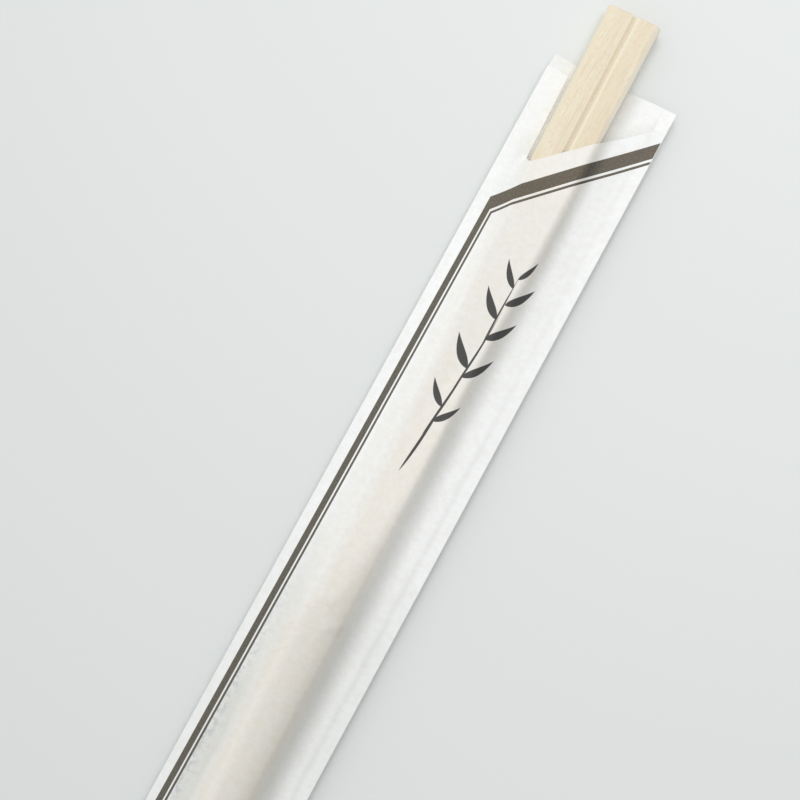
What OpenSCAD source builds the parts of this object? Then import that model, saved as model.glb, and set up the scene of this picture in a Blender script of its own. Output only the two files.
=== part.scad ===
// Unsplit wooden chopsticks in a folded paper sleeve, lying with the printed side up.
// +Y runs along the length towards the butt end, +X across and +Z up. The sleeve's back lies on z = 0.

/* [Chopsticks] */
// Length of the pair, from the butt end to the tips
stick_len = 203; // [180:1:240]
// Width of the unsplit pair at the butt end
butt_w = 12.5; // [11:0.1:14]
// Width of the unsplit pair at the tips
tip_w = 9.2; // [8:0.1:10.5]
// Thickness at the butt end
butt_t = 4.6; // [4:0.1:5.4]
// Thickness at the tips
tip_t = 3.9; // [3.4:0.1:4.6]
// Bevel along the long outer corners
long_bevel = 0.9; // [0.4:0.1:1.2]
// Bevel round the two ends
end_bevel = 0.25; // [0.1:0.05:0.4]
// Width of the V groove down the middle of each face
groove_w = 1.5; // [1:0.1:2]
// Depth of the V groove
groove_d = 0.9; // [0.6:0.1:1.2]
// Width of the sawn slit that parts the two sticks
slit_w = 0.4; // [0.2:0.1:0.8]
// Length of wood left joined at the butt end
joined_len = 40; // [20:1:60]

/* [Sleeve] */
// Width across the two side folds
sleeve_w = 30; // [28:0.5:36]
// Thickness of the paper
paper = 0.1; // [0.06:0.01:0.16]
// Length of the butt end that stands out past the back panel
butt_out = 14.7; // [8:0.1:30]
// Room from the tips to the lower fold
end_room = 7; // [6:0.5:12]
// Room between the wood and the front panel
slip = 0.05; // [0.02:0.01:0.1]
// Middle of the butt end, off the sleeve's middle
butt_shift = -3.1; // [-3.8:0.1:1]
// Middle of the tips, off the sleeve's middle
tip_shift = 0.5; // [-1:0.1:2]

/* [Mouth] */
// Step from the back panel's top edge down to the front panel's
front_step = 3.1; // [2:0.1:6]
// Gap from the strip beside the left fold to the wood
strip_gap = 1; // [0.6:0.1:1.6]
// Slant of the cut across the front panel, in degrees
mouth_slant = 43; // [30:1:50]
// Radius in the corner between the strip and the slant
mouth_r = 1; // [0.5:0.1:1.4]

/* [Seams] */
// Distance of the inner flap's edge from the right fold
lap_edge = 3; // [2.4:0.1:4]
// Width of the glued lap down the back
lap_w = 5.5; // [4:0.1:6]
// Length of the lower end that is folded over onto the back
hem_len = 5.5; // [4:0.1:5.8]
// Length at the lower fold where both panels lie flat together
flat_end = 1.5; // [1:0.1:3]

/* [Drape] */
// How sharply the paper falls away on the left of the wood
left_fall = 2.2; // [1.6:0.1:3]
// How sharply the paper falls away on the right of the wood
right_fall = 3.4; // [2:0.1:4]
// Share of the fall that runs straight to the side fold
straight_share = 0.2; // [0.1:0.05:0.4]

/* [Hidden] */

// Places along the length: the part is centred between its lower fold and its butt end
overall_len = stick_len + end_room;
y_butt = overall_len / 2;
y_tip = y_butt - stick_len;
y_fold = -overall_len / 2;
y_flat = y_fold + flat_end;
y_hem = y_fold + hem_len;
y_back = y_butt - butt_out;
y_front = y_back - front_step;

// Heights: the side folds hang halfway up the wood
fold_z = paper + (butt_t + tip_t) / 4;
side = sleeve_w / 2;
stick_turn = atan((tip_shift - butt_shift) / stick_len);

// The paper starts to close just past the tips, whose corners reach further as the pair is turned
y_closing = y_tip - tip_w / 2 * abs(sin(stick_turn)) - slip;

// Width of the little face that a cut edge of the paper makes across the sheet
cut_edge = paper / 2;

// The wood's size and place at a distance along the length, 0 at the butt end and 1 at the tips
function along(y) = (y_butt - y) / stick_len;
function between(a, b, f) = a + (b - a) * f;
function wood_mid(y) = between(butt_shift, tip_shift, along(y));
function wood_half(y) = between(butt_w, tip_w, along(y)) / 2;
function wood_top(y) = paper + between(butt_t, tip_t, along(y));

// Section of the pair: two sticks side by side, bevelled outside and grooved between, on z = 0
function pair_section(w, t, inset) =
    let (
        x = w / 2 - inset,
        x_flat = w / 2 - long_bevel,
        low = inset,
        high = t - inset,
        g = groove_w / 2 * (groove_d - inset) / groove_d,
        corner = long_bevel
    ) [
        [-x_flat, low], [-g, low], [0, groove_d], [g, low], [x_flat, low],
        [x, corner], [x, t - corner],
        [x_flat, high], [g, high], [0, t - groove_d], [-g, high], [-x_flat, high],
        [-x, t - corner], [-x, corner]
    ];

// A solid through several sections that have equal numbers of points, each set across the length at its y.
// Each of its end faces is parted into outlines without hollows, given as numbers of the section's points.
module loft(sections, stations, ends) {
    sides = len(sections[0]);
    last = len(sections) - 1;
    points = [for (i = [0:last]) for (p = sections[i]) [p[0], stations[i], p[1]]];
    walls = [
        for (i = [0:last - 1], j = [0:sides - 1])
            let (a = i * sides + j, b = i * sides + (j + 1) % sides)
                each quad(a, b, b + sides, a + sides)
    ];
    first_caps = [for (end = ends) for (j = [1:len(end) - 2]) [end[0], end[j + 1], end[j]]];
    last_caps = [for (cap = first_caps) [for (j = [2, 1, 0]) last * sides + cap[j]]];
    polyhedron(points, concat(walls, first_caps, last_caps));
}

// One piece of wood: tapered, bevelled and grooved, and sawn apart from the tips up to the joined end
module chopsticks() {
    left_stick = [0, 1, 2, 9, 10, 11, 12, 13];
    right_stick = [2, 3, 4, 5, 6, 7, 8, 9];
    color("wheat")
        translate([butt_shift, y_butt, paper])
            rotate([0, 0, stick_turn])
                difference() {
                    loft(
                        [
                            pair_section(tip_w, tip_t, end_bevel),
                            pair_section(tip_w, tip_t, 0),
                            pair_section(butt_w, butt_t, 0),
                            pair_section(butt_w, butt_t, end_bevel)
                        ],
                        [-stick_len, end_bevel - stick_len, -end_bevel, 0],
                        [left_stick, right_stick]
                    );
                    sawn_slit();
                }
}

// The slit's round end is the saw's, and its open end runs out past the tips
module sawn_slit() {
    past = 1;
    slit_h = butt_t + 2 * past;
    translate([0, -joined_len - slit_w / 2, -past]) {
        cylinder(d = slit_w, h = slit_h, $fn = 24);
        translate([-slit_w / 2, joined_len - stick_len - past, 0])
            cube([slit_w, stick_len - joined_len + past, slit_h]);
    }
}

// Lines that run down the sheet: left fold, strip's edge, wood's left and right top edges, right fold
function lines(y) = [
    -side,
    wood_mid(y) - wood_half(y) - strip_gap,
    wood_mid(y) - wood_half(y) + long_bevel - slip,
    wood_mid(y) + wood_half(y) - long_bevel + slip,
    side
];

// Place across the sheet of a column, which lies at a share of the way from one line to the next
function column_x(c, y) = lookup(c, [for (i = [0:4]) [i, lines(y)[i]]]);

// How far open the sleeve is at a place: 1 where it lies on the wood, 0 at its folds
function share_open(t, fall) = (1 - straight_share) * pow(1 - t, fall) + straight_share * (1 - t);
function end_open(y) = max(0, min(1, (y - y_flat) / (y_closing - y_flat)));
function side_open(x, y) =
    let (edge = lines(y))
        x < edge[2] ? share_open((edge[2] - x) / (edge[2] - edge[0]), left_fall)
        : x > edge[3] ? share_open((x - edge[3]) / (edge[4] - edge[3]), right_fall)
        : 1;
function open_at(x, y) = side_open(x, y) * end_open(y);

// Inner faces of the front and back panels
function front_in(x, y) = fold_z + (wood_top(y) + slip - fold_z) * open_at(x, y);
function back_in(x, y) = fold_z - (fold_z - paper) * open_at(x, y);

// Thickness measured upright, so that the paper keeps its thickness where it slopes
function slope_at(x, y, rise) =
    let (reach = paper / 2)
        (side_open(x + reach, y) - side_open(x - reach, y)) * rise / (2 * reach);
function upright(x, y, rise) = paper * norm([1, slope_at(x, y, rise)]);

// Columns of the sheet, as shares between its lines, from the left fold to the right one. They stand close
// beside the folds' turns and each cut edge, and lie evenly between.
lap_span = side - lines(0)[3];
lap_in = 4 - lap_edge / lap_span;
lap_out = 4 - (lap_edge + lap_w) / lap_span;
lap_cut = cut_edge / lap_span;
strip_cut = 1 + cut_edge / (strip_gap + long_bevel);
function steps(from, to, count) = [for (i = [0:count]) between(from, to, i / count)];
left_turn = 0.08;
right_turn = 0.03;
strip_steps = 5;
left_steps = 8;
right_steps = 6;
lap_steps = 5;
flap_steps = 3;
columns = concat(
    [0], steps(left_turn, 1, strip_steps),
    steps(strip_cut, 2, left_steps),
    [2.5],
    steps(3, lap_out, right_steps),
    steps(lap_out + lap_cut, lap_in, lap_steps),
    steps(lap_in + lap_cut, 4 - right_turn, flap_steps), [4]
);
last_column = len(columns) - 1;
ring = 2 * last_column;

// The sheet's ring of columns runs along the front from left to right, then along the back
function is_front(r) = r <= last_column;
function is_fold(r) = r == 0 || r == last_column;
function column_of(r) = columns[is_front(r) ? r : ring - r];

// Top edge of the front panel: level on the strip, then round the corner and up the slant
notch_y = y_front - (side - lines(y_front)[1]) * tan(mouth_slant);
notch_x = lines(notch_y)[1];
notch_foot = y_front - (side - notch_x) * tan(mouth_slant);
corner_x = notch_x + mouth_r;
corner_y = notch_foot + mouth_r * (tan(mouth_slant) + 1 / cos(mouth_slant));
slant_from = corner_x + mouth_r * sin(mouth_slant);
function mouth_y(x) =
    x < slant_from ? corner_y - sqrt(max(0, mouth_r * mouth_r - pow(x - corner_x, 2)))
    : y_front - (side - x) * tan(mouth_slant);
function front_top(c) =
    c <= 1 ? y_front
    : c >= 4 ? y_front
    : mouth_y(column_x(c, mouth_y(column_x(c, notch_y))));
function top_of(r) = is_front(r) ? front_top(column_of(r)) : y_back;

// Points of the sheet's outer and inner faces
function hem_layers(y) = y <= y_hem ? 2 : 0;
function lap_layers(c, from) = c > from + lap_cut / 2 ? 1 : 0;
function outer_point(r, y) =
    let (c = column_of(r), x = column_x(c, y))
        is_fold(r) ? [x, y, fold_z]
        : is_front(r) ? [x, y, front_in(x, y) + upright(x, y, wood_top(y) - fold_z)]
        : [x, y, back_in(x, y) - upright(x, y, fold_z) - paper * (lap_layers(c, lap_out) + hem_layers(y))];
function inner_point(r, y) =
    let (c = column_of(r), x = column_x(c, y))
        is_fold(r) ? [x - sign(x) * paper, y, fold_z]
        : is_front(r) ? [x, y, front_in(x, y)]
        : [x, y, back_in(x, y) - paper * lap_layers(c, lap_in)];

// Rows of points up each column, from the lower fold to the column's own top
shares_up = [0.2, 0.4, 0.6, 0.8, 1];
hem_mid = (y_flat + y_hem) / 2;
outer_feet = [y_fold, y_flat, hem_mid, y_hem, y_hem + cut_edge, y_closing];
inner_feet = [y_flat, hem_mid, y_hem, y_closing];
function rows(feet, r) = concat(feet, [for (s = shares_up) between(y_closing, top_of(r), s)]);
outer_rows = len(outer_feet) + len(shares_up);
inner_rows = len(inner_feet) + len(shares_up);

// Numbers of the points: the inner face closes on one shared row of points at the flat end
inner_from = ring * outer_rows;
function outer_no(i, r) = i * ring + r % ring;
function inner_no(i, r) =
    let (k = r % ring)
        inner_from + i * ring + (i == 0 && k > last_column ? ring - k : k);
function quad(a, b, c, d) = [[a, b, c], [a, c, d]];

// One sheet of paper, folded at both sides, lapped down the back, hemmed at the end and draped over the wood
module paper_sleeve() {
    outer = [for (i = [0:outer_rows - 1], r = [0:ring - 1]) outer_point(r, rows(outer_feet, r)[i])];
    inner = [for (i = [0:inner_rows - 1], r = [0:ring - 1]) inner_point(r, rows(inner_feet, r)[i])];
    outer_faces = [
        for (i = [0:outer_rows - 2], r = [0:ring - 1])
            each quad(outer_no(i, r), outer_no(i + 1, r), outer_no(i + 1, r + 1), outer_no(i, r + 1))
    ];
    inner_faces = [
        for (i = [0:inner_rows - 2], r = [0:ring - 1])
            each quad(inner_no(i, r), inner_no(i, r + 1), inner_no(i + 1, r + 1), inner_no(i + 1, r))
    ];
    top_edge = [
        for (r = [0:ring - 1])
            each quad(
                outer_no(outer_rows - 1, r), inner_no(inner_rows - 1, r),
                inner_no(inner_rows - 1, r + 1), outer_no(outer_rows - 1, r + 1)
            )
    ];
    lower_fold = concat(
        [[0, 1, ring - 1], [last_column - 1, last_column, last_column + 1]],
        [for (r = [1:last_column - 2]) each quad(r, r + 1, ring - r - 1, ring - r)]
    );
    color("white")
        polyhedron(concat(outer, inner), concat(outer_faces, inner_faces, top_edge, lower_fold));
}

chopsticks();
paper_sleeve();
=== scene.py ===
import math

import bmesh
import bpy
from mathutils import Matrix, Vector, noise


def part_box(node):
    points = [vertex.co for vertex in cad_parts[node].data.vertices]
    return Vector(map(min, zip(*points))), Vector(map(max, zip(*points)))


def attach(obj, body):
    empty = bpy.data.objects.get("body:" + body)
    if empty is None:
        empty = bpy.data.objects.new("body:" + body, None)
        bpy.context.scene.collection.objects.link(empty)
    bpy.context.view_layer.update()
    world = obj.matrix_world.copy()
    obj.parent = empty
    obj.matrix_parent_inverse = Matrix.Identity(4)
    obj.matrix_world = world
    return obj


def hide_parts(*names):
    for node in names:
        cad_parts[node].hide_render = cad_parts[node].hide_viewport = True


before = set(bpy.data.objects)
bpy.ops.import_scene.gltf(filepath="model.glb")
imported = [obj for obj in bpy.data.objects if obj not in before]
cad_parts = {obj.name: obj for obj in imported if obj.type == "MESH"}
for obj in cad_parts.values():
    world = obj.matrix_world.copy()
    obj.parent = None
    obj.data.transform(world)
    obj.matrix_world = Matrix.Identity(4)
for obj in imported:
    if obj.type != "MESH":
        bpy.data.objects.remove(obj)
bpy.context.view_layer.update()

# Sizes are in millimetres up to the point where a finished mesh is scaled to metres
MM = 0.001
sleeve_low, sleeve_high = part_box("paper_sleeve")
SIDE = sleeve_high.x / MM
Y_BACK = sleeve_high.y / MM
Y_FOLD = sleeve_low.y / MM
Y_BUTT = -Y_FOLD

# Chopsticks
STICK_LEN = 203.0
BUTT_W, TIP_W = 12.5, 9.2
BUTT_T, TIP_T = 4.6, 3.9
LONG_BEVEL = 0.9
END_BEVEL, END_STEPS = 0.25, 3
EDGE_ROUND, EDGE_STEPS = 0.14, 2
GROOVE_W, GROOVE_D = 1.5, 0.9
SLIT_W = 0.4
JOINED_LEN = 40.0
BUTT_SHIFT, TIP_SHIFT = -3.1, 0.5
STICK_TURN = math.atan((TIP_SHIFT - BUTT_SHIFT) / STICK_LEN)
Y_TIP = Y_BUTT - STICK_LEN

# Long corners that are rounded run further than this along the sticks and turn by more than this
CORNER_RUN, CORNER_TURN = 1.0, math.radians(30)
# Faces that meet at a larger angle than this keep a sharp edge between them
SHARP_TURN = math.radians(40)

# Sleeve
PAPER = 0.1
SLIP = 0.05
FRONT_STEP = 3.1
STRIP_GAP = 1.0
MOUTH_SLANT = math.radians(43)
MOUTH_R, MOUTH_STEPS = 1.0, 9
LAP_EDGE, LAP_W = 3.0, 5.5
LAP_IN = SIDE - LAP_EDGE
LAP_OUT = LAP_IN - LAP_W
HEM_LEN, FLAT_END = 5.5, 1.5
FOLD_Z = PAPER + (BUTT_T + TIP_T) / 4
FOLD_R = 0.06
FOLD_TURN = FOLD_R * math.pi / 2
Y_FRONT = Y_BACK - FRONT_STEP
Y_FLAT = Y_FOLD + FLAT_END
Y_CLOSING = Y_TIP - TIP_W / 2 * abs(math.sin(STICK_TURN)) - SLIP
# The outer flap drops under the back panel within this distance of the right fold
FLAP_EASE = 0.5
# The back panel is narrower by this on each side at its top
CORNER_LEAN = 0.35
# The sheet's grid has a column this far beside each side fold, and close rows round the lower fold
BESIDE_FOLD, CLOSE_ROWS = 0.08, 6 * PAPER

# Drape of the sleeve: how steeply each side falls from the wood, and how much of that is straight
LEFT_FALL, RIGHT_FALL, STRAIGHT_SHARE = 2.2, 3.4, 0.2
# The middle of the front panel lies this share of the paper above its inside, a hair over half
FRONT_MIDDLE = 0.52
# Unevenness of the loose paper: its height, and how far from what holds it the paper is free
RIPPLE, RIPPLE_FREE = 0.12, 3
# Its waves: share, how close they come across and along, and where in the noise they are taken
RIPPLE_WAVES = [(1.0, 0.16, 0.05, 4.0), (0.5, 0.3, 0.12, 9.0)]
# Small creases over the wood: place, half length across, lean, width and height
CREASES = [
    ((-1.2, -37.6), 2.6, 0.5, 1.1, 0.36),
    ((2.5, -42.4), 2.8, 1.8, 1.1, 0.4),
]
# Shares of a crease's half length between which it runs out
CREASE_ENDS = (0.4, 1)
# The strip beside the mouth sinks by this share, over a length at the notch and a width at its edge
STRIP_SINKS, SINK_ALONG, SINK_ACROSS = 0.85, (-7, 5), (-2, 0.9)
# Past the notch the strip comes free of the front panel, and from this far on it sinks alone
SINK_APART = 4

# Camera: turns and place of the object in the camera's own frame, as in the photograph
CAMERA_TURNS = (-0.0950, -0.0477, -0.4992)
CAMERA_SHIFT = Vector((4.023, -10.165, -277.005))
CAMERA_LENS, CAMERA_SENSOR = 57.645, 36.0
CAMERA_NEAR, CAMERA_FAR = 0.01, 10


def between(a, b, f):
    return a + (b - a) * f


def clamp(value, low=0.0, high=1.0):
    return max(low, min(high, value))


def ease(value, low, high):
    f = clamp((value - low) / (high - low))
    return f * f * (3 - 2 * f)


def hump(value, middle, half):
    """1 at a middle, eased down to 0 at half a width to either side."""
    return ease(1 - abs(value - middle) / half, 0, 1)


# The wood's size and place along the length
def along(y):
    return (Y_BUTT - y) / STICK_LEN


def wood_mid(y):
    return between(BUTT_SHIFT, TIP_SHIFT, along(y))


def wood_half(y):
    return between(BUTT_W, TIP_W, along(y)) / 2


def wood_top(y):
    return PAPER + between(BUTT_T, TIP_T, along(y))


def strip_edge(y):
    return wood_mid(y) - wood_half(y) - STRIP_GAP


def wood_left(y):
    return wood_mid(y) - wood_half(y) + LONG_BEVEL - SLIP


def wood_right(y):
    return wood_mid(y) + wood_half(y) - LONG_BEVEL + SLIP


# The drape of the sleeve over the wood
def share_open(t, fall):
    rest = clamp(1 - t)
    return (1 - STRAIGHT_SHARE) * rest ** fall + STRAIGHT_SHARE * rest


def side_open(x, y):
    """How far open the sleeve is across its width: 1 on the wood, 0 at the side folds."""
    left, right = wood_left(y), wood_right(y)
    if x < left:
        return share_open((left - x) / (left + SIDE), LEFT_FALL)
    if x > right:
        return share_open((x - right) / (SIDE - right), RIGHT_FALL)
    return 1.0


def end_open(y):
    """How far open the sleeve is along its length: 1 as far as the tips, 0 at the lower end."""
    return clamp((y - Y_FLAT) / (Y_CLOSING - Y_FLAT))


def open_at(x, y):
    return side_open(x, y) * end_open(y)


def front_in(x, y):
    return FOLD_Z + (wood_top(y) + SLIP - FOLD_Z) * open_at(x, y)


def back_in(x, y):
    return FOLD_Z - (FOLD_Z - PAPER) * open_at(x, y)


def crease(x, y):
    """Small bulges where the loose paper has been pressed together over the wood."""
    rise = 0.0
    for (mid_x, mid_y), half, lean, width, height in CREASES:
        sideways = (x - mid_x) / half
        off = (y - mid_y - lean * sideways) / width
        rise += height * math.exp(-off ** 2) * (1 - ease(abs(sideways), *CREASE_ENDS))
    return rise


def ripple(x, y):
    """Soft unevenness of the paper where nothing holds it, and the creases."""
    free_left = clamp(min(wood_left(y) - x, x + SIDE) / RIPPLE_FREE)
    free_right = clamp(min(x - wood_right(y), SIDE - x) / RIPPLE_FREE)
    wave = sum(
        share * noise.noise(Vector((x * close_x, y * close_y, part)))
        for share, close_x, close_y, part in RIPPLE_WAVES
    )
    return (RIPPLE * (free_left + free_right) * wave + crease(x, y)) * end_open(y)


def mouth_y(x):
    """The slanted edge of the mouth."""
    return Y_FRONT - (SIDE - x) * math.tan(MOUTH_SLANT)


NOTCH_Y = mouth_y(strip_edge(Y_FRONT))


def sunken(x, y):
    """How far the strip, which nothing holds up beside the mouth, has sunk onto the back panel."""
    past_edge = x - strip_edge(y)
    past_notch = y - NOTCH_Y
    joined = 1 - ease(past_edge, *SINK_ACROSS)
    apart = float(past_edge < MOUTH_R / 4)
    sinks = between(joined, apart, ease(past_notch, 0, SINK_APART))
    return STRIP_SINKS * ease(past_notch, *SINK_ALONG) * sinks


def front_mid(x, y):
    draped = front_in(x, y) + PAPER * FRONT_MIDDLE + ripple(x, y)
    return between(draped, back_in(x, y) + PAPER, sunken(x, y))


def level(panel, x, y):
    """Height of the middle of the paper. The outer flap leaves the right fold and runs under
    the back panel."""
    if panel == "front":
        return front_mid(x, y)
    drop = clamp((SIDE - x) / FLAP_EASE) if panel == "flap" else 0
    return back_in(x, y) - PAPER * (0.5 + drop)


def hem_level(panel, x, y):
    """Height of the same layer where the lower end is turned under, so that the layers come
    in reverse."""
    lapped = panel == "flap" or x > LAP_OUT
    above = {"flap": 0, "back": int(lapped), "front": 2 if LAP_OUT < x < LAP_IN else 1}[panel]
    return back_in(x, y) - PAPER * (1.5 + lapped + above)


def panel_of(s):
    """Panel of the sleeve that a place across the flat sheet belongs to, with its x when folded."""
    if s < 0:
        return "back", -SIDE - s
    if s <= 2 * SIDE:
        return "front", s - SIDE
    return "flap", SIDE - (s - 2 * SIDE)


def side_turn(s, x):
    """Angle round a side fold, from -90 degrees on the back to 90 on the front, or None away
    from the folds."""
    angle = (s if x < 0 else 2 * SIDE - s) / FOLD_R
    return angle if abs(angle) < math.pi / 2 else None


def folded(s, y):
    """Place of a point of the flat sheet once it is folded, lapped, hemmed and draped."""
    panel, x = panel_of(s)
    real_y = Y_FOLD + abs(y - Y_FOLD)
    angle = side_turn(s, x)
    share = float(panel == "front")
    if angle is not None:
        share = (math.sin(angle) + 1) / 2
        x = math.copysign(SIDE - PAPER / 2 - FOLD_R * (1 - math.cos(angle)), x)
    lower = "back" if x < 0 or panel == "back" else "flap"

    def height(find, at_y):
        return between(find(lower, x, at_y), find("front", x, at_y), share)

    z = height(level if y > Y_FOLD else hem_level, real_y)
    radius = (height(level, Y_FOLD) - height(hem_level, Y_FOLD)) / 2
    outermost = (level("front", x, Y_FOLD) - hem_level("front", x, Y_FOLD)) / 2
    centre = Y_FOLD + PAPER / 2 + outermost
    hem_angle = (y - Y_FOLD) / radius
    if abs(hem_angle) < math.pi / 2:
        real_y = centre - radius * math.cos(hem_angle)
        z = height(hem_level, Y_FOLD) + radius * (1 + math.sin(hem_angle))
    else:
        real_y = max(real_y, centre)
    if panel == "back" and y > Y_FRONT:
        x *= 1 - CORNER_LEAN / SIDE * (y - Y_FRONT) / FRONT_STEP
    return Vector((x, real_y, z))


# Mesh helpers
def add_object(name, data):
    item = bpy.data.objects.new(name, data)
    bpy.context.scene.collection.objects.link(item)
    return item


def add_mesh(bm, name, material):
    mesh = bpy.data.meshes.new(name)
    bm.to_mesh(mesh)
    bm.free()
    mesh.materials.append(material)
    return add_object(name, mesh)


def finished(bm, name, material, node):
    """Scales a mesh to metres and makes it the piece that stands for a node of the frame."""
    bmesh.ops.scale(bm, vec=(MM, MM, MM), verts=bm.verts)
    for face in bm.faces:
        face.smooth = True
    for edge in bm.edges:
        edge.smooth = len(edge.link_faces) == 2 and edge.calc_face_angle() < SHARP_TURN
    piece = add_mesh(bm, name, material)
    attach(piece, "root")
    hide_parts(node)
    return piece


def round_edges(bm, edges, reach, steps):
    bmesh.ops.bevel(
        bm, geom=edges, offset=reach, segments=steps, profile=0.5, affect="EDGES", material=-1,
        clamp_overlap=True,
    )


# Chopsticks
def pair_section(y):
    """Outline of the unsplit pair at y, 0 at the butt end and negative towards the tips: the right
    stick, the top groove's bottom, the left stick and the lower groove's bottom."""
    f = -y / STICK_LEN
    x, top = between(BUTT_W, TIP_W, f) / 2, between(BUTT_T, TIP_T, f)
    flat, lip = x - LONG_BEVEL, GROOVE_W / 2
    cut, cut_z = SLIT_W / 2, GROOVE_D * (1 - SLIT_W / GROOVE_W)
    right = [
        (cut, cut_z), (lip, 0), (flat, 0), (x, LONG_BEVEL),
        (x, top - LONG_BEVEL), (flat, top), (lip, top), (cut, top - cut_z),
    ]
    left = [(-a, b) for a, b in reversed(right)]
    return right, [(0, top - GROOVE_D)], left, [(0, GROOVE_D)]


def ring(bm, outline, y):
    return [bm.verts.new((x, y, z)) for x, z in outline]


def loop_edges(bm, verts):
    ends = zip(verts, verts[1:] + verts[:1])
    return [bm.edges.get(pair) or bm.edges.new(pair) for pair in ends]


def bridge(bm, first, second):
    bmesh.ops.bridge_loops(bm, edges=loop_edges(bm, first) + loop_edges(bm, second))


def chopsticks_mesh():
    """One tapered blank, sawn apart from the tips up to the joined end."""
    bm = bmesh.new()
    butt = ring(bm, sum(pair_section(0), []), 0)
    joint = ring(bm, sum(pair_section(-JOINED_LEN), []), -JOINED_LEN)
    right_tip, _, left_tip, _ = pair_section(-STICK_LEN)
    count = len(right_tip)
    bridge(bm, butt, joint)
    bm.faces.new(butt)
    slit_end = (count - 1, count, count + 1, 2 * count, 2 * count + 1, 0)
    bm.faces.new([joint[i] for i in slit_end])
    right_joint, left_joint = joint[:count], joint[count + 1:2 * count + 1]
    for start, outline in ((right_joint, right_tip), (left_joint, left_tip)):
        tip = ring(bm, outline, -STICK_LEN)
        bridge(bm, start, tip)
        bm.faces.new(tip)
    bmesh.ops.recalc_face_normals(bm, faces=bm.faces)
    ends = [e for e in bm.edges if all(v.co.y in (0, -STICK_LEN) for v in e.verts)]
    round_edges(bm, ends, END_BEVEL, END_STEPS)
    corners = [
        e for e in bm.edges
        if abs(e.verts[0].co.y - e.verts[1].co.y) > CORNER_RUN and len(e.link_faces) == 2
        and e.calc_face_angle_signed() > CORNER_TURN
    ]
    round_edges(bm, corners, EDGE_ROUND, EDGE_STEPS)
    turn = Matrix.Rotation(STICK_TURN, 4, "Z")
    place = Matrix.Translation((BUTT_SHIFT, Y_BUTT, PAPER)) @ turn
    bmesh.ops.transform(bm, matrix=place, verts=bm.verts)
    return bm


# Paper sleeve
def across(count, start, end):
    """Columns evenly across the flat sheet from one line to another, without the first."""
    return [lambda y, f=(i + 1) / count: between(start(y), end(y), f) for i in range(count)]


def straight_line(value):
    return lambda y: value


def on_back(edge):
    return lambda y: -SIDE - edge(y)


def on_front(edge):
    return lambda y: SIDE + edge(y)


def sheet_columns():
    """Lines down the flat sheet, from the back panel's free edge over the front to the outer
    flap's edge. They follow the folds, the strip's edge and the wood's edges."""
    beside = FOLD_TURN + BESIDE_FOLD
    start = straight_line(-2 * SIDE + LAP_EDGE)
    # How many columns lead up to each line, in their order across the sheet
    lines = [
        (12, on_back(wood_right)),
        (12, on_back(wood_left)),
        (10, straight_line(-beside)),
        (1, straight_line(-FOLD_TURN)),
        (6, straight_line(FOLD_TURN)),
        (1, straight_line(beside)),
        (12, on_front(strip_edge)),
        (7, on_front(wood_left)),
        (20, on_front(wood_right)),
        (28, straight_line(2 * SIDE - beside)),
        (1, straight_line(2 * SIDE - FOLD_TURN)),
        (6, straight_line(2 * SIDE + FOLD_TURN)),
        (1, straight_line(2 * SIDE + beside)),
        (12, straight_line(2 * SIDE + LAP_EDGE + LAP_W)),
    ]
    columns = [start]
    for count, line in lines:
        columns += across(count, start, line)
        start = line
    return columns


def sheet_rows():
    """Rows down the flat sheet, close together round the lower fold and the hem's turn."""
    start = Y_BACK
    # How many rows lead down to each place along the sheet
    places = [
        (4, Y_FRONT),
        (190, Y_CLOSING),
        (12, Y_FOLD + CLOSE_ROWS),
        (16, Y_FOLD - CLOSE_ROWS),
        (6, Y_FOLD - HEM_LEN),
    ]
    rows = [start]
    for count, place in places:
        rows += [between(start, place, (i + 1) / count) for i in range(count)]
        start = place
    return rows


def flat_sheet():
    """The sheet before it is folded, as a grid on the sleeve's own lines."""
    columns, rows = sheet_columns(), sheet_rows()
    last_column, last_row = len(columns) - 1, len(rows) - 1
    bm = bmesh.new()
    bmesh.ops.create_grid(bm, x_segments=last_column, y_segments=last_row, size=0.5)
    for vert in bm.verts:
        column = columns[round((vert.co.x + 0.5) * last_column)]
        y = rows[round((0.5 - vert.co.y) * last_row)]
        vert.co = (column(y), y, 0)
    return bm


def mouth_cuts():
    """Lines that bound the piece cut out of the front panel: each a point and the way into the
    waste. The straight ones come before the steps of the rounded corner, and its centre first."""
    notch_x = SIDE + strip_edge(NOTCH_Y)
    lean = strip_edge(NOTCH_Y + 1) - strip_edge(NOTCH_Y)
    edge = (Vector((notch_x, NOTCH_Y, 0)), Vector((1, -lean, 0)).normalized())
    into_mouth = Vector((-math.sin(MOUTH_SLANT), math.cos(MOUTH_SLANT), 0))
    slant = (Vector((2 * SIDE, Y_FRONT, 0)), into_mouth)
    centre_up = MOUTH_R * (math.tan(MOUTH_SLANT) + 1 / math.cos(MOUTH_SLANT))
    centre = Vector((notch_x + MOUTH_R, mouth_y(notch_x - SIDE) + centre_up, 0))
    turn = math.pi / 2 + MOUTH_SLANT
    rounds = []
    for i in range(1, MOUTH_STEPS):
        angle = math.pi + turn * i / MOUTH_STEPS
        away = Vector((math.cos(angle), math.sin(angle), 0))
        rounds.append((centre + away * MOUTH_R, -away))
    return centre, [edge, slant], rounds


# A cut takes up corners of the grid that lie this close to it
CUT_SNAP = 1e-4


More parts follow.
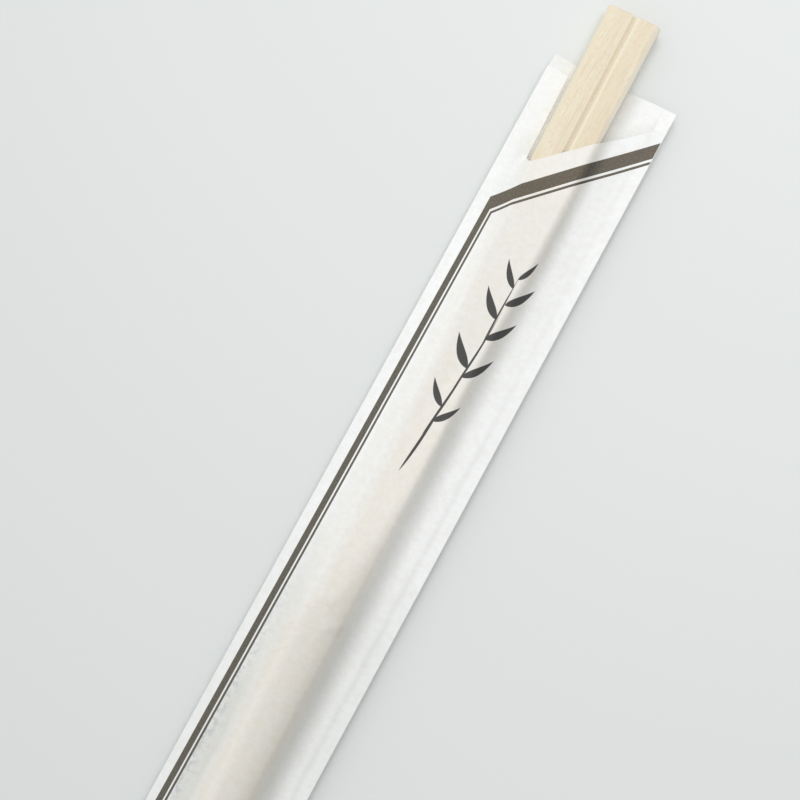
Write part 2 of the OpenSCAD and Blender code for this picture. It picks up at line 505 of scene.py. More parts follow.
def cut_mouth(bm):
    """Cuts the slanted mouth, with a rounded corner beside the strip, and trims the front
    panel's top."""
    centre, straight, rounds = mouth_cuts()

    def front(face):
        return 0 < face.calc_center_median().x < 2 * SIDE

    def close(face, reach):
        off = face.calc_center_median() - centre
        return off.length < reach and off.x > -2 * MOUTH_R

    for lines, reach in ((straight, 4 * SIDE), (rounds, 3 * MOUTH_R)):
        for point, into in lines:
            near = [f for f in bm.faces if front(f) and close(f, reach)]
            edges = dict.fromkeys(e for f in near for e in f.edges)
            verts = dict.fromkeys(v for f in near for v in f.verts)
            bmesh.ops.bisect_plane(
                bm, geom=[*near, *edges, *verts], dist=CUT_SNAP, plane_co=point, plane_no=into
            )

    def waste(face):
        middle = face.calc_center_median()
        inside = all((middle - point).dot(into) > 0 for point, into in straight + rounds)
        on_turn = -FOLD_TURN < middle.x <= 0
        return front(face) and inside or (front(face) or on_turn) and middle.y > Y_FRONT

    bmesh.ops.delete(bm, geom=[f for f in bm.faces if waste(f)], context="FACES")


# Steps in which the length over the drape is measured, to a place on the front and to the flap
FRONT_RUN_STEPS, FLAP_RUN_STEPS = 40, 20


def run_across(x, y, count):
    """Length of the front panel from the left fold, measured over the drape."""
    xs = [between(-SIDE, x, i / count) for i in range(count + 1)]
    zs = [front_in(q, y) for q in xs]
    return sum(math.hypot(xs[i + 1] - xs[i], zs[i + 1] - zs[i]) for i in range(count))


def mark_sheet(bm):
    """Writes the flat sheet's own measures, in metres, as its UV map: across from the left fold,
    and down from the back panel's top."""
    sheet = bm.loops.layers.uv.new("sheet")
    runs = {}
    for vert in bm.verts:
        panel, x = panel_of(vert.co.x)
        drape_y = max(vert.co.y, Y_FOLD)
        across_run = vert.co.x
        if panel == "front":
            across_run = run_across(x, drape_y, FRONT_RUN_STEPS)
        if panel == "flap":
            across_run += run_across(SIDE, drape_y, FLAP_RUN_STEPS) - 2 * SIDE
        runs[vert] = (across_run * MM, (Y_BACK - vert.co.y) * MM)
    for face in bm.faces:
        for loop in face.loops:
            loop[sheet].uv = runs[loop.vert]


# How the inside shows through the thin front panel: the wood's warm tone, and painted shade
# DOWN in a name: how far below the front panel's top something sets in or goes
# FROM_FOLD in a name: how far from a side fold it does so

# Where the paper leaves the wood: inside its right edge, and half way back to it towards the tips,
# and inside its left edge, but outside that edge towards the tips
STRAY, STRAY_DOWN = 0.9, (25, 85)
STRAY_BACK, STRAY_BACK_DOWN = 0.5, (95, 150)
LIFT_IN, LIFT_IN_DOWN = 1.6, (40, 72)
LIFT_OUT, LIFT_OUT_DOWN = 3.25, (121, 135)


def shade_edge(y):
    """Where the paper leaves the wood on the right."""
    down = Y_FRONT - y
    back = STRAY_BACK * ease(down, *STRAY_BACK_DOWN)
    return wood_right(y) - STRAY * ease(down, *STRAY_DOWN) * (1 - back)


def lift_line(y):
    """Where the paper leaves the wood on the left."""
    down = Y_FRONT - y
    inside, outside = LIFT_IN * ease(down, *LIFT_IN_DOWN), LIFT_OUT * ease(down, *LIFT_OUT_DOWN)
    return wood_left(y) + inside - outside


# The wood's warm tone: how far from the left fold it starts, its share where the paper has lifted,
# and over which width it grows to full where the paper lies on the wood
WARM_STARTS, WARM_LIFTED, WARM_BLUR = 3.5, 0.55, 1.2
# How it fades past the right edge and at the tips, and its share at the mouth
WARM_FADES, WARM_AT_TIPS = (-0.5, 4.0), (-1, 1)
WARM_AT_MOUTH, WARM_DOWN = 0.8, (40, 100)


def touching(x, y):
    """How much of the wood's warm tone comes through: most where the paper lies on the wood."""
    lift = lift_line(y)
    lifted = WARM_LIFTED * ease(x, WARM_STARTS - SIDE, lift)
    warm = between(lifted, 1, ease(x - lift, -WARM_BLUR, WARM_BLUR))
    warm *= between(WARM_AT_MOUTH, 1, ease(Y_FRONT - y, *WARM_DOWN))
    warm *= 1 - ease(x - shade_edge(y), *WARM_FADES)
    return warm * ease(y - Y_TIP, *WARM_AT_TIPS)


# The painted shade over the hollow right of the wood, each value at the mouth and further down:
# where it starts and is full past the wood, the middle and half width of its far side, and its
# depth
SHADE_STARTS, SHADE_STARTS_DOWN = (-0.4, -5.5), (90, 130)
SHADE_FULL, SHADE_FULL_DOWN = (1.6, 3.4), (60, 130)
SHADE_MIDDLE, SHADE_MIDDLE_DOWN = (2.0, 5.0), 85
SHADE_HALF, SHADE_HALF_DOWN = (1.8, 2.6), 150
SHADE_DEPTH, SHADE_DEPTH_DOWN = (0.89, 1), (110, 150)
SHADE_FROM_FOLD = (0, 3)


def shade_over_hollow(x, y):
    """Depth of the painted shade over the hollow to the right of the wood, which widens and softens
    towards the tips."""
    down = Y_FRONT - y
    past = x - shade_edge(y)
    starts = between(*SHADE_STARTS, ease(down, *SHADE_STARTS_DOWN))
    full = between(*SHADE_FULL, ease(down, *SHADE_FULL_DOWN))
    middle = between(*SHADE_MIDDLE, clamp(down / SHADE_MIDDLE_DOWN))
    half = between(*SHADE_HALF, clamp(down / SHADE_HALF_DOWN))
    depth = between(*SHADE_DEPTH, ease(down, *SHADE_DEPTH_DOWN))
    depth *= ease(SIDE - x, *SHADE_FROM_FOLD)
    return depth * ease(past, starts, full) * (1 - ease(past, middle - half, middle + half))


# The painted shade just past the tips: depth, how it sets in past them, and how far it reaches
# beside them
TIPS_SHADE, TIPS_SHADE_PAST, TIPS_SHADE_BESIDE = 0.55, (-0.6, 1), 4


def shade_past_tips(x, y):
    """Depth of the painted shade just past the tips, where the sleeve closes."""
    beside = max(wood_left(y) - x, x - wood_right(y))
    past = ease(Y_TIP - y, *TIPS_SHADE_PAST)
    return TIPS_SHADE * past * (1 - ease(beside, 0, TIPS_SHADE_BESIDE))


# The painted shade on the back panel where it shows in the mouth: close to the wood's right side,
# along the mouth's edge, and at the top left. Right of the wood it goes out under the front panel.
BACK_SHADE, BACK_STARTS, BACK_FADES = 0.55, (1.0, 1.9), (1.6, 6.0)
MOUTH_SHADE, MOUTH_REACH = 0.25, 5.0
BACK_LEFT_SHADE, BACK_LEFT_STARTS = 0.13, (-1, 0)
BACK_GOES_OUT = (-7, -1)


def shade_on_back(x, y):
    """Depth of the painted shade on the back panel where it shows in the mouth."""
    past = x - wood_right(y)
    if past < 0:
        return BACK_LEFT_SHADE * ease(y - Y_FRONT, *BACK_LEFT_STARTS)
    above_edge = y - mouth_y(x)
    beside = BACK_SHADE * (1 - ease(past, *BACK_FADES))
    at_mouth = MOUTH_SHADE * (1 - ease(above_edge, 0, MOUTH_REACH))
    return max(beside, at_mouth) * ease(past, *BACK_STARTS) * ease(above_edge, *BACK_GOES_OUT)


# The faint painted shade of the inside: strength of each part of it, and where it sets in and goes
# Right of the hollow, near the mouth
DIM_RIGHT, RIGHT_STARTS, RIGHT_FROM_FOLD = 0.2, 2, (2, 5.5)
RIGHT_DOWN, RIGHT_PAST_MOUTH = (45, 85), (1, 7)
# Left of the wood, just below the notch
DIM_NOTCH, NOTCH_FROM_FOLD, NOTCH_FADES = 0.38, (0.8, 4.2), (-1, 2)
NOTCH_STARTS_DOWN, NOTCH_ENDS_DOWN = (12, 20), (30, 50)
# From the left of the wood to past its right edge, and further down only to past its left edge
DIM_LEFT, LEFT_FROM_FOLD, LEFT_PAST, LEFT_FADES = 0.22, (4.6, 6), 1.5, 2
LEFT_NARROWS_DOWN, LEFT_PAST_NOTCH = (50, 95), 4
# Beside the border, faint at first and full low down
DIM_BESIDE, BESIDE_X, BESIDE_HALF = 1.1, -8.8, 3.6
BESIDE_FAINT, BESIDE_FAINT_DOWN, BESIDE_FULL_DOWN = 0.3, (100, 115), (138, 165)
# A step just inside the bend over the wood's left edge
DIM_STEP, STEP_STARTS, STEP_DOWN = 0.28, 1, (118, 138)
# All over, far from the mouth, with less of it by the left fold
DIM_FAR, FAR_DOWN, FAR_AT_FOLD, FAR_FROM_FOLD = 0.32, (105, 132), 0.6, (2, 4.5)
# The bend over the wood's left edge catches the light, so less of the shade shows there
BEND_PAST, RIDGE_LIGHT, RIDGE_HALF, RIDGE_DOWN = 0.3, 0.65, 2.5, (45, 65)


def dim_inside(x, y):
    """The faint painted shade of the sleeve's inside: the strongest of four parts, with the step
    and what lies far from the mouth added, and less of it all on the bend."""
    down = Y_FRONT - y
    from_left, from_right = x + SIDE, SIDE - x
    edge = shade_edge(y)
    wood_edge = wood_left(y)
    bend = wood_edge + BEND_PAST
    right = ease(x - edge, 0, RIGHT_STARTS) * ease(from_right, *RIGHT_FROM_FOLD)
    right *= (1 - ease(down, *RIGHT_DOWN)) * ease(mouth_y(x) - y, *RIGHT_PAST_MOUTH)
    notch = ease(from_left, *NOTCH_FROM_FOLD) * (1 - ease(x - wood_edge, *NOTCH_FADES))
    notch *= ease(down, *NOTCH_STARTS_DOWN) * (1 - ease(down, *NOTCH_ENDS_DOWN))
    left_end = between(edge, wood_edge, ease(down, *LEFT_NARROWS_DOWN)) + LEFT_PAST
    left = ease(from_left, *LEFT_FROM_FOLD) * ease(left_end - x, 0, LEFT_FADES)
    left *= ease(NOTCH_Y - y, 0, LEFT_PAST_NOTCH)
    faint = BESIDE_FAINT * ease(down, *BESIDE_FAINT_DOWN)
    beside = between(faint, 1, ease(down, *BESIDE_FULL_DOWN)) * hump(x, BESIDE_X, BESIDE_HALF)
    step = ease(x - bend, 0, STEP_STARTS) * (1 - ease(x, bend + STEP_STARTS, edge))
    step *= ease(down, *STEP_DOWN)
    far = ease(down, *FAR_DOWN) * between(FAR_AT_FOLD, 1, ease(from_left, *FAR_FROM_FOLD))
    ridge = hump(x, bend, RIDGE_HALF) * ease(down, *RIDGE_DOWN)
    dim = max(DIM_RIGHT * right, DIM_LEFT * left, DIM_BESIDE * beside, DIM_NOTCH * notch)
    return (dim + DIM_STEP * step + DIM_FAR * far) * (1 - RIDGE_LIGHT * ridge)


# The lap's edge shows as a faint line: half its width, and its share at the mouth
SEAM_HALF, SEAM_AT_MOUTH, SEAM_DOWN = 1.1, 0.5, (60, 105)


def seam_shade(x, y):
    """How much of the lap's edge comes through."""
    return hump(x, LAP_IN, SEAM_HALF) * between(SEAM_AT_MOUTH, 1, ease(Y_FRONT - y, *SEAM_DOWN))


MARKS = ("touching", "hollow", "dim_inside", "seam")
# Shades go out towards the flat lower end, from this far above the tips
CLOSING_FROM = 3


def mark_show_through_and_shade(bm):
    """Notes where the thin front panel lies on the wood and over the lap, and the painted shade
    over the hollows beside the wood, of the sleeve's inside, and on the back panel in the mouth."""
    touch, hollow, dim, seam = (bm.verts.layers.float.new(name) for name in MARKS)
    for vert in bm.verts:
        panel, x = panel_of(vert.co.x)
        y = vert.co.y
        if panel == "back" and y > NOTCH_Y:
            # painted shade on the back panel in the mouth
            vert[hollow] = shade_on_back(x, y)
        if panel != "front" or y < Y_FOLD:
            continue
        closing = ease(y, Y_FLAT, Y_TIP + CLOSING_FROM)
        vert[touch] = touching(x, y)
        # painted shade over the hollows and of the sleeve's inside
        vert[hollow] = max(shade_over_hollow(x, y), shade_past_tips(x, y)) * closing
        vert[dim] = dim_inside(x, y) * closing
        vert[seam] = seam_shade(x, y)


def sleeve_mesh():
    """One sheet: cut flat, then folded at both sides, lapped down the back, hemmed and draped."""
    bm = flat_sheet()
    cut_mouth(bm)
    mark_sheet(bm)
    mark_show_through_and_shade(bm)
    for vert in bm.verts:
        vert.co = folded(vert.co.x, vert.co.y)
    bmesh.ops.recalc_face_normals(bm, faces=bm.faces)
    return bm


# Shader helpers
def linear(*tones):
    """A colour as seen on a screen, 0 to 255, as the linear colour that a shader takes."""
    parts = [t / 255 for t in tones]
    return (*[p / 12.92 if p <= 0.04045 else ((p + 0.055) / 1.055) ** 2.4 for p in parts], 1.0)


def feed(tree, socket, value):
    """Links an input to a socket, or sets it to any other value."""
    if isinstance(value, bpy.types.NodeSocket):
        tree.links.new(value, socket)
    else:
        socket.default_value = value


def put(tree, kind, inputs=(), **settings):
    """Adds a shader node with its settings and inputs."""
    node = tree.nodes.new("ShaderNode" + kind)
    for name, value in settings.items():
        setattr(node, name, value)
    for key, value in inputs.items() if isinstance(inputs, dict) else enumerate(inputs):
        feed(tree, node.inputs[key], value)
    return node


def maths(tree, operation, *values):
    return put(tree, "Math", values, operation=operation).outputs[0]


def vectors(tree, operation, *values):
    node = put(tree, "VectorMath", values, operation=operation)
    gives_value = operation in ("DOT_PRODUCT", "LENGTH")
    return node.outputs["Value" if gives_value else "Vector"]


def part_of(tree, vector, axis):
    return put(tree, "SeparateXYZ", (vector,)).outputs["XYZ".index(axis)]


def clamped(tree, value):
    return put(tree, "Clamp", (value,)).outputs[0]


def ramp(tree, value, low, high, to_low=0.0, to_high=1.0):
    """A value eased from one range into another."""
    inputs = {"Value": value, 1: low, 2: high, 3: to_low, 4: to_high}
    return put(tree, "MapRange", inputs, interpolation_type="SMOOTHSTEP").outputs[0]


def blend(tree, share, first, second, how="MIX"):
    inputs = {0: share, 6: first, 7: second}
    return put(tree, "Mix", inputs, data_type="RGBA", blend_type=how).outputs[2]


def stained(tree, colour, amount, tone):
    """A colour multiplied, by some amount, with a tone."""
    return blend(tree, amount, colour, blend(tree, 1.0, colour, tone, "MULTIPLY"))


def add_bump(tree, shader, height, strength, depth):
    """Fine relief from a height between 0 and 1, with its depth in millimetres."""
    bump = put(tree, "Bump", {"Height": height, "Strength": strength, "Distance": depth * MM})
    tree.links.new(bump.outputs[0], shader.inputs["Normal"])


def new_group(name, inputs, outputs):
    """An empty node group with its inputs, each with its kind and usual value, and its outputs."""
    tree = bpy.data.node_groups.new(name, "ShaderNodeTree")
    for label, kind, value in inputs:
        socket = tree.interface.new_socket(
            label, in_out="INPUT", socket_type="NodeSocket" + kind
        )
        socket.default_value = value
    for label in outputs:
        tree.interface.new_socket(label, in_out="OUTPUT", socket_type="NodeSocketFloat")
    given = tree.nodes.new("NodeGroupInput").outputs
    return tree, given, tree.nodes.new("NodeGroupOutput").inputs


def use_group(tree, group, **inputs):
    """Adds a node group. An input's name has an underscore for each space in its label."""
    node = tree.nodes.new("ShaderNodeGroup")
    node.node_tree = group
    for label, value in inputs.items():
        feed(tree, node.inputs[label.replace("_", " ")], value)
    return node.outputs


def fibre_group():
    """Uneven fibres of wood or paper: soft clouds, and finer streaks. Places that are squeezed
    along the grain draw both out."""
    tree, given, out = new_group(
        "fibres",
        [("Place", "Vector", (0, 0, 0)), ("Cloud", "Float", 1.0), ("Streak", "Float", 1.0)],
        ["Clouds", "Streaks"],
    )
    for scale, detail, roughness in (("Cloud", 3.0, 0.6), ("Streak", 4.0, 0.65)):
        fibres = put(tree, "TexNoise", {
            "Vector": given["Place"], "Scale": given[scale],
            "Detail": detail, "Roughness": roughness,
        })
        tree.links.new(fibres.outputs[0], out[scale + "s"])
    return tree


# A stroke is widest before its middle: the power of its length's share that gives its swell
SWELL_POWER = 0.65


def stroke_group():
    """One stroke of a brush, from its base to its fine tip, on places given in millimetres."""
    tree, given, out = new_group(
        "brush_stroke",
        [
            ("Place", "Vector", (0, 0, 0)), ("Base", "Vector", (0, 0, 0)),
            ("Tip", "Vector", (1, 0, 0)), ("Width", "Float", 1.0), ("Bow", "Float", 0.0),
            ("Soft Edge", "Float", 0.08),
        ],
        ["Ink"],
    )
    axis = vectors(tree, "SUBTRACT", given["Tip"], given["Base"])
    length = vectors(tree, "LENGTH", axis)
    way = vectors(tree, "NORMALIZE", axis)
    offset = vectors(tree, "SUBTRACT", given["Place"], given["Base"])
    ahead = maths(tree, "DIVIDE", vectors(tree, "DOT_PRODUCT", offset, way), length)
    share = clamped(tree, ahead)
    aside = part_of(tree, vectors(tree, "CROSS_PRODUCT", way, offset), "Z")
    rest = maths(tree, "SUBTRACT", 1.0, share)
    # 1 midway along the stroke, 0 at both ends
    arch = maths(tree, "MULTIPLY", maths(tree, "MULTIPLY", share, rest), 4.0)
    bowed = maths(tree, "SUBTRACT", aside, maths(tree, "MULTIPLY", given["Bow"], arch))
    swelling = maths(tree, "POWER", share, SWELL_POWER)
    swell = maths(tree, "SINE", maths(tree, "MULTIPLY", swelling, math.pi))
    half = maths(tree, "MULTIPLY", maths(tree, "MULTIPLY", given["Width"], 0.5), swell)
    depth = maths(tree, "SUBTRACT", half, maths(tree, "ABSOLUTE", bowed))
    edge = maths(tree, "DIVIDE", depth, given["Soft Edge"])
    tree.links.new(clamped(tree, edge), out["Ink"])
    return tree


def corner_group():
    """The inside of the printed border's bent outline, moved in by two offsets."""
    tree, given, out = new_group(
        "border_corner",
        [
            ("Side", "Float", 0.0), ("Slant", "Float", 0.0),
            ("Side In", "Float", 0.0), ("Slant In", "Float", 0.0), ("Soft Edge", "Float", 0.06),
        ],
        ["Inside"],
    )
    parts = []
    for name in ("Side", "Slant"):
        beyond = maths(tree, "SUBTRACT", given[name], given[name + " In"])
        parts.append(clamped(tree, maths(tree, "DIVIDE", beyond, given["Soft Edge"])))
    tree.links.new(maths(tree, "MULTIPLY", *parts), out["Inside"])
    return tree


FIBRES = fibre_group()
STROKE = stroke_group()
CORNER = corner_group()

# The printed border on the flat sheet: where its long side and its slanted side run
SIDE_FROM, SIDE_LEAN = 3.09, 0.0068
SLANT_FROM = 37.86
# How far in the wide band ends, and how far in the thin line starts and ends, on either side
BAND_SIDE, BAND_SLANT = 1.32, 2.78
LINE_SIDE, LINE_SLANT = (1.67, 2.17), (3.3, 3.85)
# The print ends this far across from the left fold, just past the right fold
PRINT_END = 30.7

# The ink sprig: stem pieces and leaves as base, tip, width and bow, across and down the flat sheet
STEM = [
    ((14.2, 97.0), (15.9, 77.0), 0.7, 0.3),
    ((14.9, 88.0), (16.9, 66.0), 0.62, 0.3),
    ((16.0, 77.0), (17.5, 55.5), 0.56, 0.3),
    ((17.0, 65.0), (17.3, 45.6), 0.46, 0.0),
]
LEAVES = [
    ((17.3, 48.8), (19.6, 43.2), 1.2, 0.3),
    ((17.3, 51.0), (13.4, 45.4), 1.5, -0.4),
    ((17.4, 55.0), (21.9, 48.8), 1.8, 0.5),
    ((17.2, 58.6), (12.2, 52.6), 1.9, -0.5),
    ((17.0, 63.5), (21.9, 57.2), 1.8, 0.5),
    ((16.6, 70.8), (11.4, 64.4), 2.1, -0.5),
    ((16.5, 73.0), (21.2, 66.4), 1.7, 0.5),
    ((15.7, 80.6), (11.4, 75.4), 1.6, -0.4),
    ((15.4, 84.2), (19.6, 78.6), 1.5, 0.4),
]


def border_mask(tree, place):
    """Mask of the border's two stripes, on places in millimetres of the flat sheet, and the
    distance past the inner edge of its long side."""
    x, y = part_of(tree, place, "X"), part_of(tree, place, "Y")
    lean = maths(tree, "MULTIPLY", y, SIDE_LEAN)
    side = maths(tree, "ADD", maths(tree, "SUBTRACT", x, SIDE_FROM), lean)
    diagonal = maths(tree, "SUBTRACT", maths(tree, "ADD", x, y), SLANT_FROM)
    slant = maths(tree, "MULTIPLY", diagonal, math.sqrt(0.5))

    def inside(side_in, slant_in):
        corner = use_group(
            tree, CORNER, Side=side, Slant=slant, Side_In=side_in, Slant_In=slant_in
        )
        return corner["Inside"]

    line_from, line_to = zip(LINE_SIDE, LINE_SLANT)
    band = maths(tree, "SUBTRACT", inside(0, 0), inside(BAND_SIDE, BAND_SLANT))
    line = maths(tree, "SUBTRACT", inside(*line_from), inside(*line_to))
    stripes = maths(tree, "MAXIMUM", band, line)
    border = maths(tree, "MULTIPLY", stripes, maths(tree, "LESS_THAN", x, PRINT_END))
    return border, maths(tree, "SUBTRACT", side, LINE_SIDE[1])


def sprig_mask(tree, place):
    """Mask of the ink sprig, on places in millimetres of the flat sheet."""
    sprig = 0.0
    for base, tip, width, bow in STEM + LEAVES:
        stroke = use_group(
            tree, STROKE, Place=place, Base=(*base, 0), Tip=(*tip, 0), Width=width, Bow=bow
        )
        sprig = maths(tree, "MAXIMUM", stroke["Ink"], sprig)
    return sprig


def new_material(name, roughness, specular):
    material = bpy.data.materials.new(name)
    material.use_nodes = True
    tree = material.node_tree
    shader = tree.nodes["Principled BSDF"]
    shader.inputs["Roughness"].default_value = roughness
    shader.inputs["Specular IOR Level"].default_value = specular
    return material, tree, shader


# Paper: its two tones, and tones that its fibres and blotches multiply in over a range of noise
SHEET_TONES, SHEET_RANGE = (linear(249, 250, 248), linear(252, 253, 251)), (0.3, 0.7)
FIBRE_TONE, FIBRE_RANGE = linear(250, 250, 250), (0.7, 0.3)
BLOTCH_TONE, SPECK_TONE = linear(252, 251, 249), linear(253, 252, 253)
BLOTCH_RANGE = (0.36, 0.64)
# Ink of the border: its two tones, and tones that multiply it further down the sheet and under the
# painted shade over the hollow. How far down is measured here from the back panel's top.
INK_TONES, INK_RANGE = (linear(121, 114, 103), linear(102, 95, 85)), (0.32, 0.68)
INK_LOW_TONE, INK_LOW_SHEET = linear(240, 246, 246), (34, 60)
INK_SHADE_TONE = linear(211, 221, 238)
# Ink of the sprig, and how well it covers
SPRIG_TONE, SPRIG_COVERS = linear(66, 68, 69), 0.96
# Smudges inside the border low down: how they get fewer with each millimetre, their reach from
# the border, and where down the sheet they set in
SMUDGE_TONE, SMUDGE_RANGE, SMUDGE_FEWER = linear(230, 231, 235), (0.38, 0.62), -0.05
SMUDGE_REACH, SMUDGE_SHEET = (4.0, 0.5), (112, 165)
# What shows through: the wood's warm tone, which is patchy, the painted shade over the hollows and
# of the inside, and the lap's faint line
WARM_TONE, WARM_PATCHES = linear(248, 242.5, 235), (0.25, 0.7, 0.72, 1.12)
HOLLOW_SHADE_TONE = linear(211, 210, 207)
DIM_TONE = linear(231, 232, 229)
SEAM_TONE = linear(246, 246, 246)
PAPER_BUMP, PAPER_BUMP_DEPTH = 0.12, 0.05


def paper_material():
    """Thin uncoated paper: the wood shows through it, shade over the hollows and the inside is
    painted on, and its front is printed.
    """
    material, tree, shader = new_material("white_paper", roughness=0.85, specular=0.2)
    sheet = put(tree, "UVMap", uv_map="sheet").outputs[0]
    place = vectors(tree, "MULTIPLY", sheet, (1 / MM, 1 / MM, 0))
    down = part_of(tree, place, "Y")
    touch, hollow, dim, seam = (
        put(tree, "Attribute", attribute_name=name).outputs["Fac"] for name in MARKS
    )
    fibres = use_group(tree, FIBRES, Place=place, Cloud=0.16, Streak=2.4)
    blotches = use_group(tree, FIBRES, Place=place, Cloud=0.62, Streak=1.2)
    colour = blend(tree, ramp(tree, fibres["Clouds"], *SHEET_RANGE), *SHEET_TONES)
    for marks, marks_range, tone in (
        (fibres["Streaks"], FIBRE_RANGE, FIBRE_TONE),
        (blotches["Clouds"], BLOTCH_RANGE, BLOTCH_TONE),
        (blotches["Streaks"], BLOTCH_RANGE, SPECK_TONE),
    ):
        colour = stained(tree, colour, ramp(tree, marks, *marks_range), tone)

    border, inner = border_mask(tree, place)
    ink = blend(tree, ramp(tree, fibres["Streaks"], *INK_RANGE), *INK_TONES)
    ink = stained(tree, ink, ramp(tree, down, *INK_LOW_SHEET), INK_LOW_TONE)
    # the ink is darker under the painted shade over the hollow
    colour = blend(tree, border, colour, stained(tree, ink, hollow, INK_SHADE_TONE))
    sprig = maths(tree, "MULTIPLY", sprig_mask(tree, place), SPRIG_COVERS)
    colour = blend(tree, sprig, colour, SPRIG_TONE)

    near = ramp(tree, inner, *SMUDGE_REACH)
    worn = maths(tree, "MULTIPLY", near, ramp(tree, down, *SMUDGE_SHEET))
    worn = maths(tree, "MULTIPLY", worn, maths(tree, "GREATER_THAN", inner, 0.0))
    clouds = use_group(tree, FIBRES, Place=place, Cloud=0.8, Streak=1.0)["Clouds"]
    fewer = maths(tree, "MULTIPLY_ADD", inner, SMUDGE_FEWER, clouds)
    smudges = maths(tree, "MULTIPLY", worn, ramp(tree, fewer, *SMUDGE_RANGE))
    warm = maths(tree, "MULTIPLY", touch, ramp(tree, fibres["Clouds"], *WARM_PATCHES))
    # smudges are wear; the hollow and dim amounts are painted shade
    for amount, tone in (
        (smudges, SMUDGE_TONE), (warm, WARM_TONE), (hollow, HOLLOW_SHADE_TONE), (dim, DIM_TONE),
        (seam, SEAM_TONE),
    ):
        colour = stained(tree, colour, amount, tone)
    tree.links.new(colour, shader.inputs["Base Color"])
    add_bump(tree, shader, fibres["Streaks"], PAPER_BUMP, PAPER_BUMP_DEPTH)
    return material


# Wood: its two tones over a range of noise, and how its grain and flecks are drawn out lengthwise
WOOD_TONES, WOOD_RANGE = (linear(226, 214, 186), linear(237, 228, 205)), (0.3, 0.7)
GRAIN_SQUEEZE, FLECK_SQUEEZE = (1, 0.035, 1), (1, 0.3, 1)
# Range of noise, strength and tone of the warm patches, the streaks and the flecks
WOOD_PATCHES = (0.35, 0.65), 0.7, linear(235, 218, 196)
WOOD_STREAKS = (0.48, 0.7), 0.7, linear(219, 202, 171)
WOOD_FLECKS = (0.48, 0.7), 0.85, linear(221, 206, 178)
# Tones along the groove and the outer bevels: how far aside, over which reach they fade, and tone.
# The groove's left wall is painted lighter against its shade, its bottom gets a darker line, and
# its right lip a painted highlight; the right bevel is painted lighter against its shade.
LENGTHWISE_TONES_AND_LIGHT = [
    (-0.6, (0.16, 0.3), linear(247, 236, 212)),
    (-0.02, (0.3, 0.44), linear(228, 218, 199)),
    (1.0, (0.1, 0.4), linear(236, 227, 205)),
    (-5.8, (0.3, 0.7), linear(230, 220, 196)),
    (5.8, (0.35, 0.6), linear(239, 231, 214)),
]
# They stop short of the butt end's face, which shows end grain with pores
LENGTHWISE_STOPS, END_GRAIN_STARTS = (-0.1, -0.3), (-0.2, -0.05)
END_GRAIN_TONE, PORES = linear(213, 194, 160), (0.38, 0.62, 0.35, 1.0)
WOOD_BUMP, WOOD_BUMP_DEPTH = 0.25, 0.08


def wood_material():
    """Pale bare wood with fine grain along the sticks, tones and painted light along the groove and
    the bevels, and end grain on the butt end."""
    material, tree, shader = new_material("pale_wood", roughness=0.7, specular=0.25)
    place = put(tree, "TexCoord").outputs["Object"]
    sticks = vectors(tree, "MULTIPLY", place, (1 / MM, 1 / MM, 1 / MM))
    along_grain = vectors(tree, "MULTIPLY", sticks, GRAIN_SQUEEZE)
    along_flecks = vectors(tree, "MULTIPLY", sticks, FLECK_SQUEEZE)
    grain = use_group(tree, FIBRES, Place=along_grain, Cloud=0.3, Streak=3.0)
    flecks = use_group(tree, FIBRES, Place=along_flecks, Cloud=1.1, Streak=3.4)
    colour = blend(tree, ramp(tree, grain["Clouds"], *WOOD_RANGE), *WOOD_TONES)
    for marks, (marks_range, strength, tone) in (
        (flecks["Clouds"], WOOD_PATCHES),
        (grain["Streaks"], WOOD_STREAKS),
        (flecks["Streaks"], WOOD_FLECKS),
    ):
        colour = blend(tree, ramp(tree, marks, *marks_range, 0.0, strength), colour, tone)

    lean = (BUTT_SHIFT - TIP_SHIFT) / STICK_LEN
    across_sticks = vectors(tree, "DOT_PRODUCT", sticks, (1, -lean, 0))
    aside = maths(tree, "SUBTRACT", across_sticks, BUTT_SHIFT - lean * Y_BUTT)
    along_sticks = vectors(tree, "DOT_PRODUCT", sticks, (lean, 1, 0))
    past_end = maths(tree, "SUBTRACT", along_sticks, Y_BUTT + lean * BUTT_SHIFT)
    long_sides = ramp(tree, past_end, *LENGTHWISE_STOPS)
    # painted light on the groove's left wall, its right lip and the right bevel; a darker line
    # along the groove's bottom
    for place_aside, reach, tone in LENGTHWISE_TONES_AND_LIGHT:
        off = maths(tree, "ABSOLUTE", maths(tree, "SUBTRACT", aside, place_aside))
        share = maths(tree, "MULTIPLY", ramp(tree, off, *reach, 1.0, 0.0), long_sides)
        colour = blend(tree, share, colour, tone)
    pores = ramp(tree, flecks["Streaks"], *PORES)
    end_grain = maths(tree, "MULTIPLY", pores, ramp(tree, past_end, *END_GRAIN_STARTS))
    colour = blend(tree, end_grain, colour, END_GRAIN_TONE)
    tree.links.new(colour, shader.inputs["Base Color"])
    add_bump(tree, shader, grain["Streaks"], WOOD_BUMP, WOOD_BUMP_DEPTH)
    return material


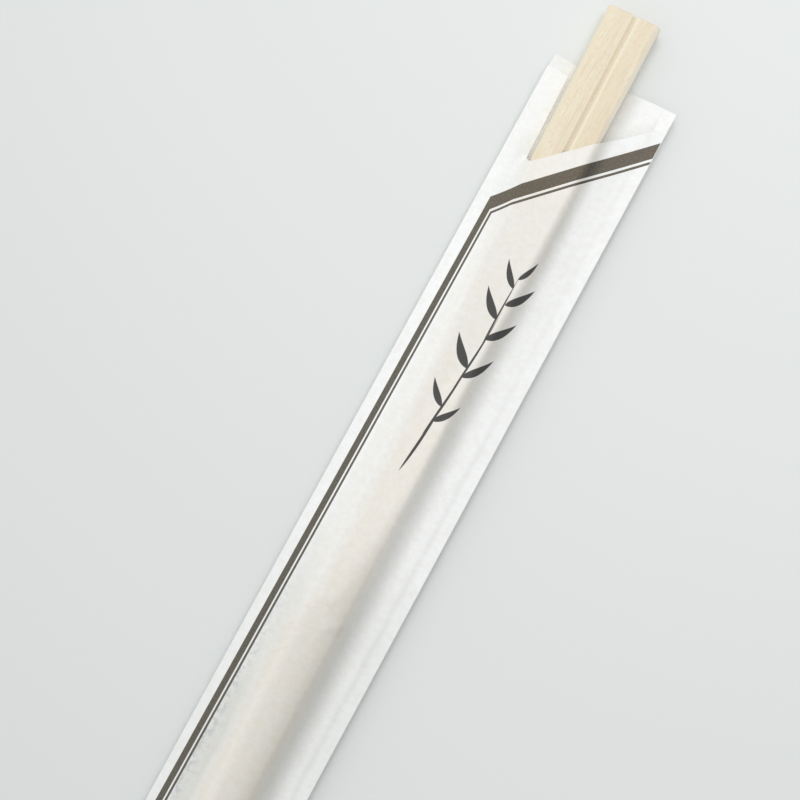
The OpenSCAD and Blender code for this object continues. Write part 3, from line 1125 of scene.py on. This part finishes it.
# Stage, in metres: half the floor's width, the room's light, how it leans, and the window
FLOOR_TONE, FLOOR_HALF = linear(228, 230, 228), 2.0
ROOM_COLOUR, ROOM_LIGHT, ROOM_LEAN = (0.97, 0.985, 1.0, 1.0), 0.675, 0.46
WINDOW_PLACE, WINDOW_SIZE, WINDOW_WATTS = Vector((0.005, 0.22, 0.39)), 0.4, 0.9


def add_floor():
    material, _, shader = new_material("pale_floor", roughness=0.75, specular=0.2)
    shader.inputs["Base Color"].default_value = FLOOR_TONE
    bm = bmesh.new()
    bmesh.ops.create_grid(bm, x_segments=1, y_segments=1, size=FLOOR_HALF)
    floor = add_mesh(bm, "floor", material)


def add_camera():
    data = bpy.data.cameras.new("camera")
    data.lens, data.sensor_width = CAMERA_LENS, CAMERA_SENSOR
    data.clip_start, data.clip_end = CAMERA_NEAR, CAMERA_FAR
    turn = Matrix.Identity(3)
    for angle, axis in zip(CAMERA_TURNS, "XYZ"):
        turn = turn @ Matrix.Rotation(angle, 3, axis)
    back = turn.transposed()
    camera = add_object("camera", data)
    camera.matrix_world = Matrix.Translation(back @ -CAMERA_SHIFT * MM) @ back.to_4x4()
    bpy.context.scene.camera = camera


def add_window():
    data = bpy.data.lights.new("window", "AREA")
    data.size = WINDOW_SIZE
    data.energy = WINDOW_WATTS
    light = add_object("window", data)
    light.location = WINDOW_PLACE
    light.rotation_euler = (-WINDOW_PLACE).to_track_quat("-Z", "Y").to_euler()


def add_surroundings():
    """A pale room that is lighter on the left, and a soft window beyond the butt end."""
    world = bpy.data.worlds.new("studio")
    world.use_nodes = True
    bpy.context.scene.world = world
    tree = world.node_tree
    sky = tree.nodes["Background"]
    sky.inputs["Color"].default_value = ROOM_COLOUR
    to_right = part_of(tree, put(tree, "TexCoord").outputs["Generated"], "X")
    light = maths(tree, "MULTIPLY_ADD", to_right, -ROOM_LEAN * ROOM_LIGHT, ROOM_LIGHT)
    tree.links.new(light, sky.inputs["Strength"])
    add_window()
    bpy.context.scene.view_settings.view_transform = "Standard"


add_camera()
add_surroundings()
add_floor()

finished(chopsticks_mesh(), "pair_of_sticks", wood_material(), "chopsticks")
sleeve = finished(sleeve_mesh(), "folded_sleeve", paper_material(), "paper_sleeve")
thickness = sleeve.modifiers.new("thickness", "SOLIDIFY")
thickness.thickness = PAPER * MM
thickness.offset = 0
